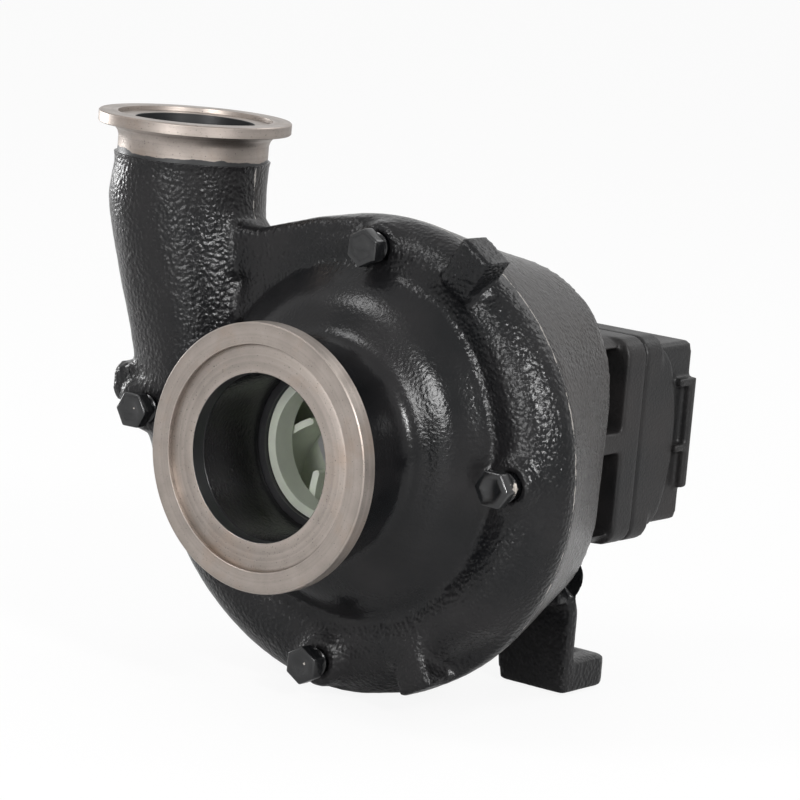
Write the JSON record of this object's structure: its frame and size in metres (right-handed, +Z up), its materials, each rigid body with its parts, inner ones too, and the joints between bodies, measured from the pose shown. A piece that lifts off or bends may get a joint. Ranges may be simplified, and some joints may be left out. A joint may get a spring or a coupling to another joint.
{
  "type": "centrifugal pump",
  "caption": "End-suction volute pump of cast iron with a clamped suction flange, an upright discharge at the side and a close-coupled hydraulic gear motor on a foot bracket.",
  "frame": {"origin": "centre of the suction flange's face, on the shaft's axis", "axes": "+Y along the shaft from the suction side to the motor; +Z up, the way the discharge points; +X the side away from the discharge, where the idler gear lies"},
  "size_m": [0.2513, 0.2232, 0.2287],
  "materials": {
    "casing_paint": "gloss black enamel over sand-cast iron, with machined faces bare",
    "frame_paint": "gloss black enamel over cast iron",
    "motor_paint": "satin black paint over cast iron",
    "plug_steel": "black enamel, chipped at the corners",
    "bolt_steel": "dark zinc plate",
    "steel": "ground",
    "stainless": "satin",
    "bronze": "machined",
    "impeller_nylon": "moulded, satin",
    "seal_ceramic": "lapped ceramic",
    "seal_carbon": "lapped carbon",
    "rubber": "matt"
  },
  "bodies": {
    "root": {"volute_casing": "casing_paint", "wear_ring": "bronze", "vent_plug": "plug_steel", "right_side_plug": "plug_steel", "drain_plug": "plug_steel", "left_side_plug": "plug_steel", "mounting_frame": "frame_paint", "casing_bolts": "bolt_steel", "seal_seat": "seal_ceramic", "seat_cup": "rubber", "bearing_outer_race": "steel", "bearing_balls": "steel", "lip_seal": "rubber", "motor_front_cover": "motor_paint", "motor_body": "motor_paint", "motor_rear_cover": "motor_paint", "drive_bush_front": "bronze", "drive_bush_rear": "bronze", "idler_bush_front": "bronze", "idler_bush_rear": "bronze", "motor_mount_bolts": "bolt_steel", "motor_tie_bolts": "bolt_steel"},
    "rotor": {"drive_shaft": "steel", "impeller": "impeller_nylon", "impeller_nut": "stainless", "impeller_washer": "stainless", "impeller_key": "steel", "seal_face": "seal_carbon", "seal_head": "stainless", "bearing_inner_race": "steel"},
    "idler": {"idler_gear": "steel"}
  },
  "joints": [
    {"name": "shaft_spin", "type": "hinge", "parent": "root", "child": "rotor", "pos_m": [0, 0, 0], "axis": [0, 1, 0], "continuous": true},
    {"name": "idler_spin", "type": "hinge", "parent": "root", "child": "idler", "pos_m": [0.036, 0, 0], "axis": [0, 1, 0], "continuous": true}
  ],
  "couplings": [
    {"joint": "idler_spin", "follows": "shaft_spin", "ratio": -1}
  ]
}
